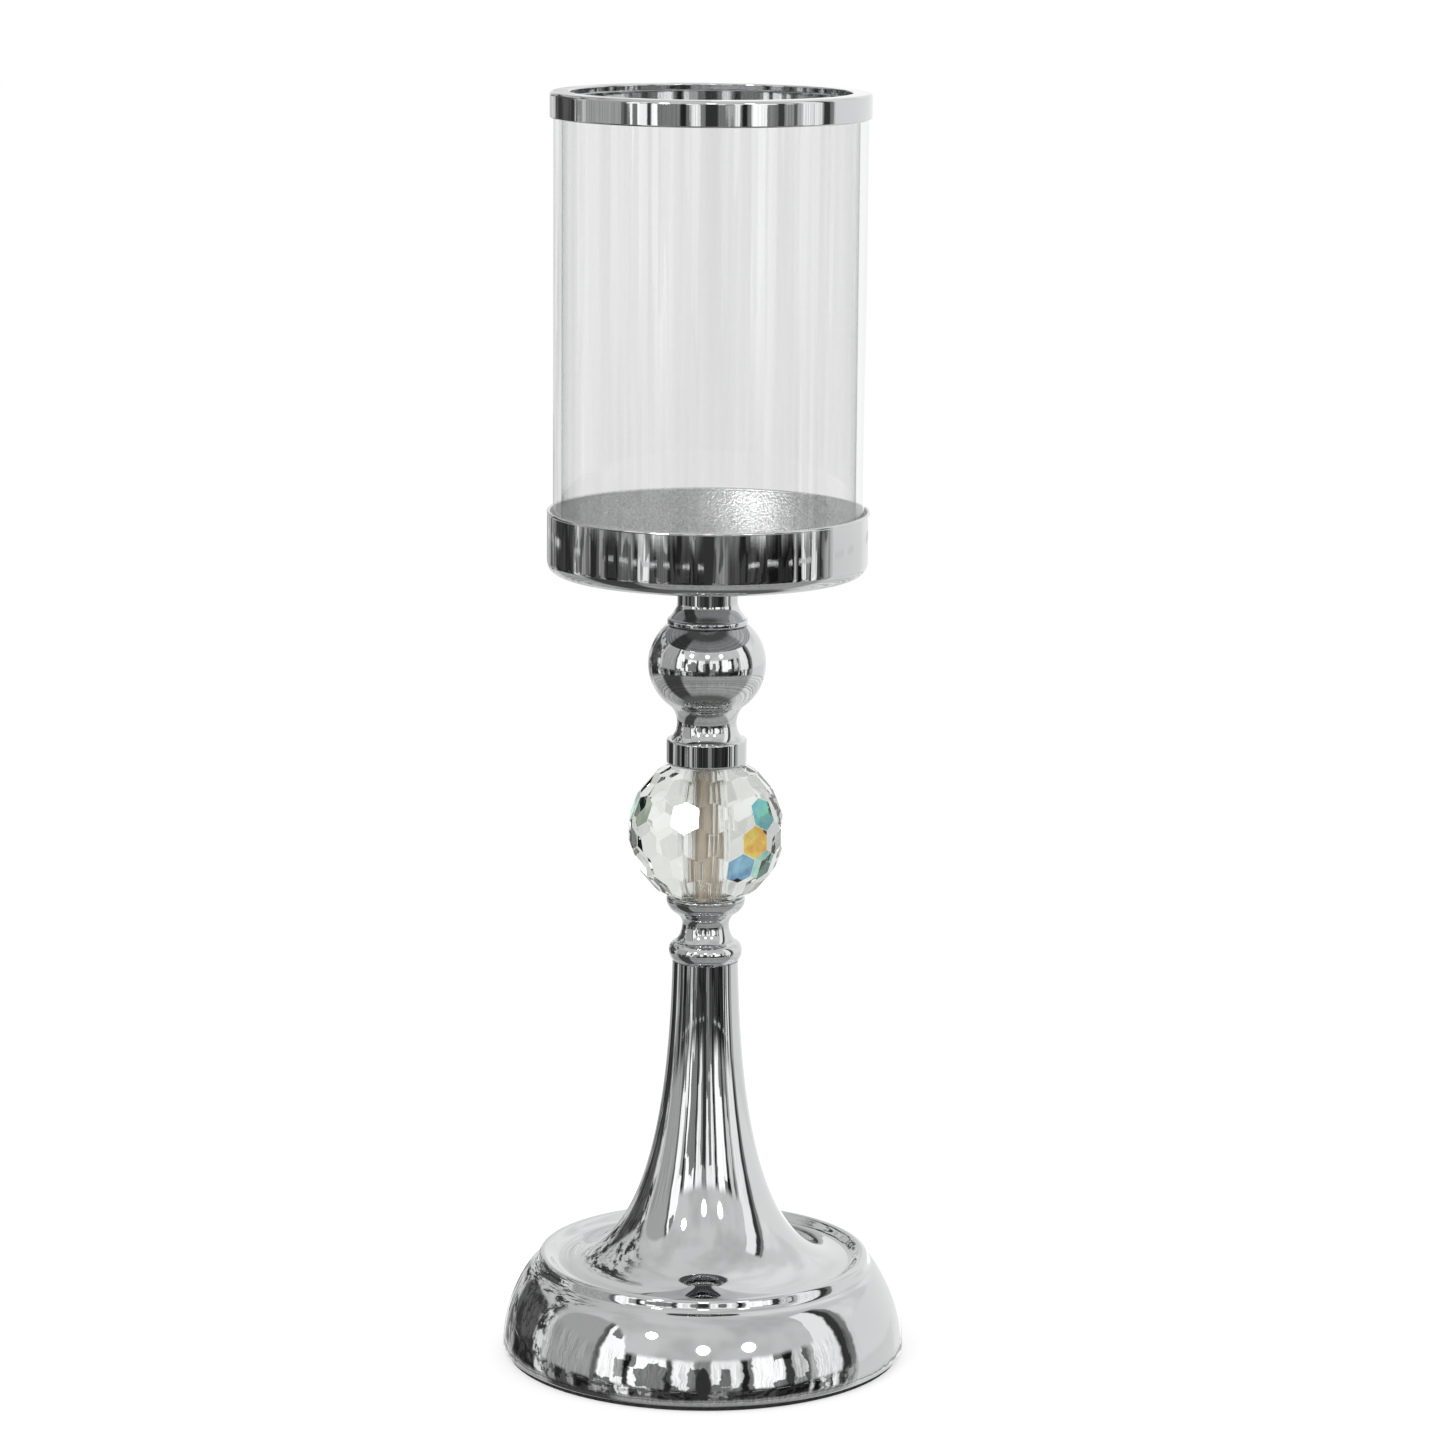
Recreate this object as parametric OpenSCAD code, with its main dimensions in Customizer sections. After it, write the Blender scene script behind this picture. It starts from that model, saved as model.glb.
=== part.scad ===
// Hurricane candle lantern: chromed trumpet foot, faceted crystal ball between
// turned collars, shallow candle pan, loose glass cylinder and loose rim ring.
// Millimetres. Z is up along the stem. The origin is the middle of the underside.

/* [Foot] */
// Largest radius of the foot
foot_r = 67.2; // [65:0.2:72]
// Radius of the raised bead round the foot's shoulder
bead_r = 53.6; // [52.6:0.2:54.6]
// Height of the bead above the valley
bead_h = 2.4; // [1.4:0.1:2.6]
// Height of the shallow valley inside the bead
valley_z = 31.6; // [29:0.2:36]
// Radius of the trumpet at its top
trumpet_r = 11; // [10.8:0.1:11.5]
// Height of the top of the trumpet
trumpet_z = 134.4; // [125:0.2:150]
// Thickness of the spun sheet
shell_wall = 1.2; // [1:0.1:1.3]
// Height of the metal edge above the table
edge_lift = 1.5; // [1:0.1:1.8]
// Thickness of the felt pad
pad_t = 2; // [1.9:0.1:2.4]
// Thickness of the ballast disc
ballast_t = 8; // [6:0.5:12]

/* [Stem] */
// Height of the lower collar up to the crystal's seat
collar_h = 22.2; // [21.8:0.1:23]
// Height of the crystal ball between its two flats
crystal_h = 44; // [42:0.5:45]
// Distance from the crystal's middle to each facet
facet_r = 25.2; // [24.8:0.1:26]
// Facets in each row, an even number
facet_count = 16; // [14:2:20]
// Angle between neighbouring rows of facets
facet_step = 20; // [19:0.5:21]
// Turn of the facets about the stem
facet_turn = 5.7; // [0:0.1:22]
// Radius of the crystal's bore
crystal_bore_r = 5.2; // [5:0.1:6]
// Height of the ring collar above the crystal
ring_collar_h = 20.1; // [19.5:0.1:21]
// Largest radius of the stem ball
ball_r = 19.5; // [19:0.1:20]
// Height of the stem ball between its two flats
ball_h = 26.6; // [25:0.1:28]
// Radius of the straight neck under the pan
neck_r = 10; // [9:0.1:11]
// Height of the neck piece
neck_h = 17.3; // [16:0.1:24]

/* [Tie rod] */
// Radius of the tie rod
rod_r = 4; // [3.8:0.1:4]
// Radial gap between the rod and the holes in the stem
rod_gap = 0.3; // [0.2:0.05:0.4]

/* [Pan] */
// Outer radius of the pan
pan_r = 52.8; // [52.6:0.1:56]
// Height of the pan
pan_h = 20.8; // [16:0.1:30]
// Thickness of the pan's upright wall
pan_wall = 1; // [0.8:0.1:1.1]
// Thickness of the pan's floor
pan_floor = 1.2; // [1:0.1:1.5]
// Radius of the round between the pan's floor and wall
pan_corner = 4.5; // [4:0.1:4.6]

/* [Glass] */
// Outer radius of the glass cylinder
glass_r = 50.8; // [49:0.1:50.8]
// Thickness of the glass
glass_wall = 2.8; // [2.6:0.1:3.2]
// Height of the glass cylinder
glass_h = 153.2; // [100:0.2:220]

/* [Rim ring] */
// Radius of the opening in the ring
ring_open_r = 45.5; // [42:0.1:46]
// Depth of the ring's outer skirt
ring_h = 8.4; // [6:0.1:14]
// Thickness of the ring's sheet
ring_wall = 0.9; // [0.8:0.1:1]

/* [Hidden] */
$fn = 96;

chrome = "#c8cbcf";
steel = "#9a9da1";

// Heights of the joints between the stacked pieces
gasket_t = 1;
seat_z = trumpet_z + collar_h;
crystal_mid_z = seat_z + crystal_h / 2;
crystal_top_z = seat_z + crystal_h;
ring_collar_z = crystal_top_z + 0.2;
ball_z0 = crystal_top_z + ring_collar_h;
ball_mid_z = ball_z0 + 13.7;
neck_z = ball_z0 + ball_h;
pan_z = neck_z + neck_h;
floor_z = pan_z + pan_floor;
glass_z = floor_z + 0.8;
glass_top_z = glass_z + glass_h;
ring_top_z = glass_top_z + 0.3 + ring_wall;

// Fastener sizes
bore_r = rod_r + rod_gap;
thread_r = rod_r + 0.05;
rod_z0 = 3.5;
nut_z = 4.5;
nut_t = 6.5;
nut_across_corners = 15;
lock_t = 2;
washer_t = 2;
pocket_r = 13.2;
pocket_top = nut_z + nut_t + lock_t + washer_t;
sleeve_r = 5.4;
sleeve_gap = 0.3;
sleeve_depth = 13;
pan_washer_t = 1;
head_t = 2.2;
rod_z1 = pan_z - 2;

// A point on the cubic curve with end points c[0], c[3] and handles c[1], c[2]
function on_curve(c, t) =
    pow(1 - t, 3) * c[0] + 3 * pow(1 - t, 2) * t * c[1]
    + 3 * (1 - t) * t * t * c[2] + pow(t, 3) * c[3];

// The unit direction of the same curve
function along_curve(c, t) =
    let (d = pow(1 - t, 2) * (c[1] - c[0]) + 2 * (1 - t) * t * (c[2] - c[1])
             + t * t * (c[3] - c[2]))
    d / norm(d);

// Points along the curve, moved into the metal by inset
function curve_points(c, n, inset) =
    [for (i = [0 : n])
        let (t = i / n, d = along_curve(c, t))
        on_curve(c, t) + inset * [d[1], -d[0]]];

// Outline of the foot from the top of the trumpet to its lower edge, as radius and height
valley_r = bead_r - 5.1;
crest_z = valley_z + bead_h;
shoulder_r = bead_r + 3.6;
shoulder_z = valley_z - 2.15;
trumpet = [[trumpet_r, trumpet_z], [trumpet_r + 1.4, valley_z + 26],
           [valley_r - 20.5, valley_z], [valley_r, valley_z]];
bead_rise = [[valley_r, valley_z], [bead_r - 3, valley_z],
             [bead_r - 2, crest_z], [bead_r, crest_z]];
bead_fall = [[bead_r, crest_z], [bead_r + 2.8, crest_z],
             [bead_r + 0.8, valley_z - 0.9], [shoulder_r, shoulder_z]];
skirt = [[shoulder_r, shoulder_z], [bead_r + 6.6, shoulder_z - 1.35],
         [foot_r, valley_z / 2], [foot_r, 3]];

// Underside of the bead, narrower than the bead by the thickness of the sheet
under_r = bead_r - 0.7;
under_z = crest_z - shell_wall - 0.1;
under_rise = [[valley_r, valley_z - shell_wall], [bead_r - 2.6, valley_z - shell_wall],
              [bead_r - 2.2, under_z], [under_r, under_z]];
under_fall = [[under_r, under_z], [bead_r + 1, under_z],
              [bead_r, valley_z - 1.9], [shoulder_r - 0.5, shoulder_z - 1.1]];

foot_outer = concat(curve_points(trumpet, 36, 0), curve_points(bead_rise, 10, 0),
                    curve_points(bead_fall, 10, 0), curve_points(skirt, 24, 0));
foot_inner = concat(curve_points(trumpet, 36, shell_wall), curve_points(under_rise, 8, 0),
                    curve_points(under_fall, 8, 0), curve_points(skirt, 24, shell_wall));

// Rectangle in radius and height, from corner a to corner b
module band(a, b) {
    translate(a) square(b - a);
}

// Disc section from the axis out to radius r, from z0 to z1, with round outer edges
module round_disc(r, z0, z1, edge) {
    band([0, z0], [r - edge, z1]);
    band([0, z0 + edge], [r, z1 - edge]);
    translate([r - edge, z0 + edge]) circle(edge);
    translate([r - edge, z1 - edge]) circle(edge);
}

// Plain ring between two radii and two heights
module flat_ring(r_in, r_out, z0, z1) {
    difference() {
        translate([0, 0, z0]) cylinder(h = z1 - z0, r = r_out);
        translate([0, 0, z0 - 1]) cylinder(h = z1 - z0 + 2, r = r_in);
    }
}

// Clearance hole for the tie rod
module rod_hole(z0, z1) {
    translate([0, 0, z0 - 1]) cylinder(h = z1 - z0 + 2, r = bore_r);
}

module felt_pad() {
    color("#151515")
        cylinder(h = pad_t, r = foot_r - shell_wall - 0.2);
}

module base_shell() {
    lower_edge = [[foot_r, edge_lift + 0.6], [foot_r - 0.2, edge_lift + 0.2],
                  [foot_r - 0.6, edge_lift], [foot_r - shell_wall, edge_lift]];
    color(chrome)
        rotate_extrude()
            polygon(concat(foot_outer, lower_edge,
                           [for (i = [len(foot_inner) - 1 : -1 : 0]) foot_inner[i]]));
}

module ballast_plate() {
    disc_r = foot_r - shell_wall - 2.2;
    color("#3c3e42")
        difference() {
            union() {
                rotate_extrude() {
                    round_disc(disc_r, pad_t, pad_t + ballast_t, 1.5);
                    band([valley_r - 3.5, pad_t + 1], [valley_r - 0.1, valley_z - shell_wall]);
                    round_disc(19, pad_t + 1, pocket_top + 5, 1);
                }
            }
            translate([0, 0, pad_t - 1]) cylinder(h = pocket_top - pad_t + 1, r = pocket_r);
            rod_hole(pad_t, pocket_top + 5);
        }
}

module base_washer() {
    color(steel)
        flat_ring(bore_r, 12, pocket_top - washer_t, pocket_top);
}

module base_lock_washer() {
    z0 = nut_z + nut_t;
    color(steel)
        difference() {
            flat_ring(bore_r, 7.3, z0, z0 + lock_t);
            translate([0, -0.5, z0 - 1]) cube([10, 1, lock_t + 2]);
        }
}

module base_nut() {
    corner = nut_across_corners / 2;
    color(steel)
        difference() {
            intersection() {
                translate([0, 0, nut_z]) cylinder(h = nut_t, r = corner, $fn = 6);
                rotate_extrude()
                    polygon([[0, nut_z], [corner - 1, nut_z], [corner, nut_z + 0.6],
                             [corner, nut_z + nut_t - 0.6], [corner - 1, nut_z + nut_t],
                             [0, nut_z + nut_t]]);
            }
            translate([0, 0, nut_z - 1]) cylinder(h = nut_t + 2, r = thread_r);
        }
}

module tie_rod() {
    color(steel)
        rotate_extrude()
            polygon([[0, rod_z0], [rod_r - 0.8, rod_z0], [rod_r, rod_z0 + 0.8],
                     [rod_r, rod_z1 - 0.8], [rod_r - 0.8, rod_z1], [0, rod_z1]]);
}

module stem_collar() {
    z0 = trumpet_z;
    bead_mid = z0 + 3.6;
    waist_low = [[9.9, z0 + 6.8], [8.7, z0 + 8], [7.8, z0 + 10.2], [7.8, z0 + 12.4]];
    waist_high = [[7.8, z0 + 12.4], [7.8, z0 + 14], [8.7, z0 + 15.5], [10.4, z0 + 16.6]];
    cup = [[10.4, z0 + 16.6], [11.7, z0 + 17.4], [13.05, z0 + 18.8], [13.05, z0 + 20.8]];
    color(chrome)
        difference() {
            rotate_extrude() {
                // round bead that sits on the trumpet, fuller below than above
                intersection() {
                    translate([7.2, bead_mid]) circle(5);
                    band([0, z0], [20, bead_mid]);
                }
                intersection() {
                    translate([8.7, bead_mid]) circle(3.5);
                    band([0, bead_mid], [20, z0 + 8]);
                }
                // solid middle, and the spigot inside the trumpet
                band([0, z0], [8.7, z0 + 7]);
                band([0, z0 - 6], [trumpet_r - shell_wall - 0.2, z0 + 1]);
                // waist and the cup round the foot of the crystal
                polygon(concat([[0, z0 + 5], [9.9, z0 + 5]], curve_points(waist_low, 12, 0),
                               curve_points(waist_high, 12, 0), curve_points(cup, 12, 0),
                               [[0, z0 + 20.8]]));
                round_disc(13.05, seat_z - 1.7, seat_z - 0.1, 0.75);
            }
            rod_hole(z0 - 6, seat_z);
            translate([0, 0, seat_z - gasket_t]) cylinder(h = gasket_t + 1, r = 11.7);
        }
}

module lower_crystal_gasket() {
    color("#dfe4e0")
        flat_ring(crystal_bore_r + 0.2, 11.4, seat_z - gasket_t, seat_z);
}

// Slab whose edges are the facets that face one way and the opposite way.
// angles lists the latitudes of those facets above and below the middle.
module facet_slab(angles) {
    big = 2 * facet_r;
    rotate([90, 0, 0])
        linear_extrude(height = 3 * big, center = true)
            intersection() {
                square([2 * big, crystal_h], center = true);
                intersection_for (a = angles, up = [-1, 1], side = [-1, 1])
                    scale([side, up])
                        rotate(a)
                            translate([facet_r - 2 * big, -big])
                                square([2 * big, 2 * big]);
            }
}

module crystal_ball() {
    step = 360 / facet_count;
    color("#e6eee9", 0.5)
        difference() {
            translate([0, 0, crystal_mid_z])
                intersection_for (i = [0 : facet_count / 2 - 1]) {
                    intersection() {
                        rotate([0, 0, facet_turn + i * step])
                            facet_slab([facet_step, 3 * facet_step]);
                        rotate([0, 0, facet_turn + (i + 0.5) * step])
                            facet_slab([0, 2 * facet_step]);
                    }
                }
            translate([0, 0, seat_z - 1]) cylinder(h = crystal_h + 2, r = crystal_bore_r);
        }
}

module crystal_sleeve() {
    color("#b39a78")
        flat_ring(rod_r + 0.15, crystal_bore_r - 0.4, seat_z - gasket_t,
                  crystal_top_z + gasket_t - 0.2);
}

module upper_crystal_gasket() {
    color("#dfe4e0")
        flat_ring(crystal_bore_r + 0.2, 11.4, crystal_top_z, crystal_top_z + gasket_t);
}

module ring_collar() {
    cut_r = 8;
    waist_r = 9.9;
    color(chrome)
        difference() {
            rotate_extrude() {
                // plain ring over the top of the crystal
                round_disc(13.3, ring_collar_z, ring_collar_z + 8.6, 1.2);
                round_disc(13.3, ring_collar_z + 4, ring_collar_z + 8.6, 0.6);
                // waist that flares out to the ball
                difference() {
                    band([0, ring_collar_z + 5], [15.08, ball_z0]);
                    translate([waist_r + cut_r, ball_z0 - 5.9]) circle(cut_r);
                    band([13, ring_collar_z], [20, ball_z0 - 7.4]);
                }
            }
            rod_hole(ring_collar_z, ball_z0);
            translate([0, 0, ring_collar_z - 1])
                cylinder(h = crystal_top_z + gasket_t - ring_collar_z + 1, r = 11.7);
        }
}

module stem_ball() {
    // a little flatter than a sphere
    offset_r = 2.5;
    color(chrome)
        difference() {
            rotate_extrude()
                intersection() {
                    translate([offset_r, ball_mid_z]) circle(ball_r - offset_r);
                    band([0, ball_z0], [ball_r + 1, ball_z0 + ball_h]);
                }
            rod_hole(ball_z0, ball_z0 + ball_h);
        }
}

module neck_piece() {
    flare = [[12.6, neck_z + 2.4], [11.9, neck_z + 3.5], [10.3, neck_z + 4.9],
             [neck_r, neck_z + 7.3]];
    color(chrome)
        difference() {
            rotate_extrude() {
                // rounded rim that sits on the ball
                round_disc(13.3, neck_z, neck_z + 2.5, 0.9);
                // flare up to the straight neck
                polygon(concat([[0, neck_z + 1], [12.6, neck_z + 1]],
                               curve_points(flare, 14, 0), [[0, neck_z + 7.3]]));
                band([0, neck_z], [neck_r, pan_z]);
            }
            rod_hole(neck_z, pan_z);
            translate([0, 0, pan_z - sleeve_depth])
                cylinder(h = sleeve_depth + 1, r = sleeve_r + sleeve_gap);
        }
}

// Section of a round dish: outer radius r, underside z0, top z1, corner radius
module dish_section(r, z0, z1, corner) {
    band([0, z0], [r - corner, z1]);
    band([0, z0 + corner], [r, z1]);
    translate([r - corner, z0 + corner]) circle(corner);
}

module candle_pan() {
    lip = 0.6;
    top_z = pan_z + pan_h;
    color(chrome)
        difference() {
            rotate_extrude() {
                difference() {
                    dish_section(pan_r, pan_z, top_z - lip, pan_corner);
                    dish_section(pan_r - pan_wall, floor_z, top_z + 1,
                                 pan_corner - pan_wall);
                }
                // rolled lip
                translate([pan_r - pan_wall / 2, top_z - lip]) circle(lip);
            }
            translate([0, 0, pan_z - 1])
                cylinder(h = pan_floor + 2, r = sleeve_r + sleeve_gap);
        }
}

module pan_washer() {
    color(steel)
        flat_ring(sleeve_r + sleeve_gap, 10.5, floor_z, floor_z + pan_washer_t);
}

module pan_nut() {
    head_z = floor_z + pan_washer_t;
    socket_z = head_z + head_t - 3;
    color(steel)
        difference() {
            rotate_extrude() {
                round_disc(9, head_z, head_z + head_t, 0.8);
                band([0, pan_z - sleeve_depth + 1], [sleeve_r, head_z + 0.5]);
            }
            translate([0, 0, pan_z - sleeve_depth])
                cylinder(h = sleeve_depth, r = thread_r);
            translate([0, 0, socket_z]) cylinder(h = 5, r = 3.46, $fn = 6);
        }
}

module glass_cylinder() {
    edge = 1.2;
    inner_r = glass_r - glass_wall;
    color("#e4e9ea", 0.35)
        rotate_extrude() {
            band([inner_r, glass_z + edge], [glass_r, glass_top_z - edge]);
            band([inner_r + edge, glass_z], [glass_r - edge, glass_top_z]);
            for (r = [inner_r + edge, glass_r - edge])
                for (z = [glass_z + edge, glass_top_z - edge])
                    translate([r, z]) circle(edge);
        }
}

module rim_ring() {
    ring_r = glass_r + 0.3 + ring_wall;
    corner = 1.2;
    half = ring_wall / 2;
    lip_z = ring_top_z - 2.4;
    skirt_z = ring_top_z - ring_h;
    color(chrome)
        rotate_extrude() {
            difference() {
                union() {
                    band([ring_open_r + half, ring_top_z - 2], [ring_r - corner, ring_top_z]);
                    band([ring_r - 2, skirt_z + half], [ring_r, ring_top_z - corner]);
                    translate([ring_r - corner, ring_top_z - corner]) circle(corner);
                }
                band([ring_open_r + ring_wall, skirt_z - 1],
                     [ring_r - ring_wall, ring_top_z - ring_wall]);
            }
            // inner lip, turned down
            band([ring_open_r, lip_z + half], [ring_open_r + ring_wall, ring_top_z - half]);
            for (z = [lip_z + half, ring_top_z - half])
                translate([ring_open_r + half, z]) circle(half);
            // rounded lower edge of the skirt
            translate([ring_r - half, skirt_z + half]) circle(half);
        }
}

felt_pad();
base_shell();
ballast_plate();
base_washer();
base_lock_washer();
base_nut();
tie_rod();
stem_collar();
lower_crystal_gasket();
crystal_ball();
crystal_sleeve();
upper_crystal_gasket();
ring_collar();
stem_ball();
neck_piece();
candle_pan();
pan_washer();
pan_nut();
glass_cylinder();
rim_ring();
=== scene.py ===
"""Looks of the hurricane candle lantern: turned chrome, cut crystal, clear glass.

Everything is in metres in the CAD frame. Profiles are written in millimetres as
(radius, height) and scaled once, in lathe().
"""

import math

import bmesh
import bpy
from mathutils import Matrix, Vector


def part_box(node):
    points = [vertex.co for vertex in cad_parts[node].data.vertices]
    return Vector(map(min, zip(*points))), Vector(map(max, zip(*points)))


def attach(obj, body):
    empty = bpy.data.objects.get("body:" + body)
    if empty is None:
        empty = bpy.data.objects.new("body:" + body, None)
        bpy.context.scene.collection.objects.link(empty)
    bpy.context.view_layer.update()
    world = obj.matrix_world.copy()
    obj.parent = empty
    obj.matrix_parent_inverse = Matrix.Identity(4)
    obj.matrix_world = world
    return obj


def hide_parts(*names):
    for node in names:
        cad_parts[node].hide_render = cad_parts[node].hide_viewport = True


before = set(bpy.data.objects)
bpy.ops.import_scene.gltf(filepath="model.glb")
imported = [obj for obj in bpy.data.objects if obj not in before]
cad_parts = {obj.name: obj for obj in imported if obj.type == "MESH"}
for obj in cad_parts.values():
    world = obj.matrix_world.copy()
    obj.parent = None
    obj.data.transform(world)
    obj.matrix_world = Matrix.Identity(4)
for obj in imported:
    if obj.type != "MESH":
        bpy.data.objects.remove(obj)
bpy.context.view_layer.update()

MM = 0.001
SAME_POINT = 1e-4
FINE, COARSE = 256, 192  # segments round the large and the small turned pieces


# ---------------------------------------------------------------- profiles

def line(a, b, edge=0.12):
    """A straight run with a support point close to each end."""
    length = math.dist(a, b)
    if length < 4 * edge:
        return [a, b]
    t = edge / length
    near = (a[0] + (b[0] - a[0]) * t, a[1] + (b[1] - a[1]) * t)
    far = (b[0] + (a[0] - b[0]) * t, b[1] + (a[1] - b[1]) * t)
    return [a, near, far, b]


def lines(*corners):
    """Straight runs from corner to corner."""
    return [p for a, b in zip(corners, corners[1:]) for p in line(a, b)]


def arc(cx, cz, r, a0, a1, steps):
    """Points of a circular arc from angle a0 to a1, in degrees."""
    angles = [math.radians(a0 + (a1 - a0) * i / steps) for i in range(steps + 1)]
    return [(cx + r * math.cos(a), cz + r * math.sin(a)) for a in angles]


def bezier(c, steps, inset=0.0):
    """Points of the cubic curve with control points c, moved into the metal."""
    out = []
    for i in range(steps + 1):
        t = i / steps
        w = ((1 - t) ** 3, 3 * (1 - t) ** 2 * t, 3 * (1 - t) * t * t, t ** 3)
        p = [sum(w[k] * c[k][axis] for k in range(4)) for axis in (0, 1)]
        v = ((1 - t) ** 2, 2 * (1 - t) * t, t * t)
        d = [sum(v[k] * (c[k + 1][axis] - c[k][axis]) for k in range(3))
             for axis in (0, 1)]
        n = math.hypot(*d)
        out.append((p[0] + inset * d[1] / n, p[1] - inset * d[0] / n))
    return out


def clean(points):
    """The same points without neighbours that coincide."""
    out = [points[0]]
    for p in points[1:]:
        if math.dist(p, out[-1]) > SAME_POINT:
            out.append(p)
    if math.dist(out[0], out[-1]) < SAME_POINT:
        out.pop()
    return out


def lathe(node, name, points, segments, body, materials, inner=None):
    """Turns a closed profile about Z into the piece that replaces a CAD node."""
    points = clean(points)
    n = len(points)
    verts = []
    for k in range(segments):
        a = 2 * math.pi * k / segments
        c, s = math.cos(a), math.sin(a)
        verts += [(r * c * MM, r * s * MM, z * MM) for r, z in points]
    faces = []
    for k in range(segments):
        k2 = (k + 1) % segments
        for i in range(n):
            j = (i + 1) % n
            faces.append((k * n + i, k * n + j, k2 * n + j, k2 * n + i))
    mesh = bpy.data.meshes.new(name)
    mesh.from_pydata(verts, [], faces)
    area = sum(points[i][0] * points[(i + 1) % n][1]
               - points[(i + 1) % n][0] * points[i][1] for i in range(n))
    if area > 0:
        mesh.flip_normals()
    finish_mesh(node, name, mesh, body, materials, inner)


def finish_mesh(node, name, mesh, body, materials, inner=None, angle=33):
    """Makes a piece of a mesh, smooth up to that angle between its faces.

    inner(z, nr, nz) says which faces take the second material, from the height in
    millimetres and the outward and upward parts of the normal.
    """
    for m in materials:
        mesh.materials.append(m)
    for f in mesh.polygons:
        f.use_smooth = True
        if inner:
            c = f.center
            nr = (f.normal.x * c.x + f.normal.y * c.y) / math.hypot(c.x, c.y)
            f.material_index = int(inner(c.z / MM, nr, f.normal.z))
    mesh.set_sharp_from_angle(angle=math.radians(angle))
    obj = bpy.data.objects.new(name, mesh)
    bpy.context.scene.collection.objects.link(obj)
    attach(obj, body)
    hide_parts(node)


def object_from(name, bm, materials=()):
    """A linked object made of a bmesh, which is used up."""
    mesh = bpy.data.meshes.new(name)
    for m in materials:
        mesh.materials.append(m)
    bm.to_mesh(mesh)
    bm.free()
    obj = bpy.data.objects.new(name, mesh)
    bpy.context.scene.collection.objects.link(obj)
    return obj


# ------------------------------------------------------------ shader helpers

def put(nt, socket, value):
    """Links or sets a socket; None leaves it alone."""
    if isinstance(value, bpy.types.NodeSocket):
        nt.links.new(value, socket)
    elif value is not None:
        socket.default_value = value


def maths(nt, op, a, b=None, c=None):
    n = nt.nodes.new("ShaderNodeMath")
    n.operation = op
    for socket, value in zip(n.inputs, (a, b, c)):
        put(nt, socket, value)
    return n.outputs[0]


def times(nt, a, b):
    return maths(nt, "MULTIPLY", a, b)


def span(nt, value, a, b, low=0.0, high=1.0):
    """value mapped smoothly from a..b to low..high, held beyond them."""
    n = nt.nodes.new("ShaderNodeMapRange")
    n.interpolation_type = "SMOOTHSTEP"
    n.clamp = True
    for key, v in (("Value", value), ("From Min", a), ("From Max", b),
                   ("To Min", low), ("To Max", high)):
        put(nt, n.inputs[key], v)
    return n.outputs["Result"]


def between(nt, value, a, b, c, d):
    """1 from b to c, 0 before a and after d."""
    return times(nt, span(nt, value, a, b), span(nt, value, d, c))


def mix(nt, factor, a, b):
    """A colour between a and b."""
    n = nt.nodes.new("ShaderNodeMix")
    n.data_type = "RGBA"
    put(nt, n.inputs[0], factor)
    put(nt, n.inputs[6], a)
    put(nt, n.inputs[7], b)
    return n.outputs[2]


def mix_value(nt, factor, a, b):
    """A number between a and b."""
    n = nt.nodes.new("ShaderNodeMix")
    n.data_type = "FLOAT"
    put(nt, n.inputs[0], factor)
    put(nt, n.inputs[2], a)
    put(nt, n.inputs[3], b)
    return n.outputs[0]


def mix_shaders(nt, factor, a, b, out):
    """Feeds a shader between a and b to the material's output."""
    n = nt.nodes.new("ShaderNodeMixShader")
    put(nt, n.inputs[0], factor)
    put(nt, n.inputs[1], a.outputs[0])
    put(nt, n.inputs[2], b.outputs[0])
    nt.links.new(n.outputs[0], out.inputs["Surface"])


def coords(nt, scale=(1, 1, 1)):
    """Object coordinates, stretched."""
    tc = nt.nodes.new("ShaderNodeTexCoord")
    m = nt.nodes.new("ShaderNodeMapping")
    nt.links.new(tc.outputs["Object"], m.inputs["Vector"])
    m.inputs["Scale"].default_value = scale
    return m.outputs["Vector"]


def flat_vector(nt, x, y):
    n = nt.nodes.new("ShaderNodeCombineXYZ")
    put(nt, n.inputs[0], x)
    put(nt, n.inputs[1], y)
    return n.outputs[0]


def channel(nt, colour):
    """The first channel of a colour, as a number."""
    n = nt.nodes.new("ShaderNodeSeparateColor")
    nt.links.new(colour, n.inputs[0])
    return n.outputs[0]


def noise(nt, vector, scale, detail=2.0, rough=0.5):
    n = nt.nodes.new("ShaderNodeTexNoise")
    put(nt, n.inputs["Vector"], vector)
    n.inputs["Scale"].default_value = scale
    n.inputs["Detail"].default_value = detail
    n.inputs["Roughness"].default_value = rough
    return n.outputs["Fac"]


def bump(nt, height, distance, normal=None):
    n = nt.nodes.new("ShaderNodeBump")
    n.inputs["Strength"].default_value = 1.0
    n.inputs["Distance"].default_value = distance
    put(nt, n.inputs["Height"], height)
    put(nt, n.inputs["Normal"], normal)
    return n.outputs["Normal"]


def from_behind(nt):
    """1 where a face is met from its back, so on light that goes out of the piece."""
    return nt.nodes.new("ShaderNodeNewGeometry").outputs["Backfacing"]


def material(name, preview=(0.8, 0.8, 0.8, 1)):
    m = bpy.data.materials.new(name)
    m.use_nodes = True
    m.diffuse_color = preview
    m.node_tree.nodes.clear()
    return m, m.node_tree, m.node_tree.nodes.new("ShaderNodeOutputMaterial")


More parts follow.
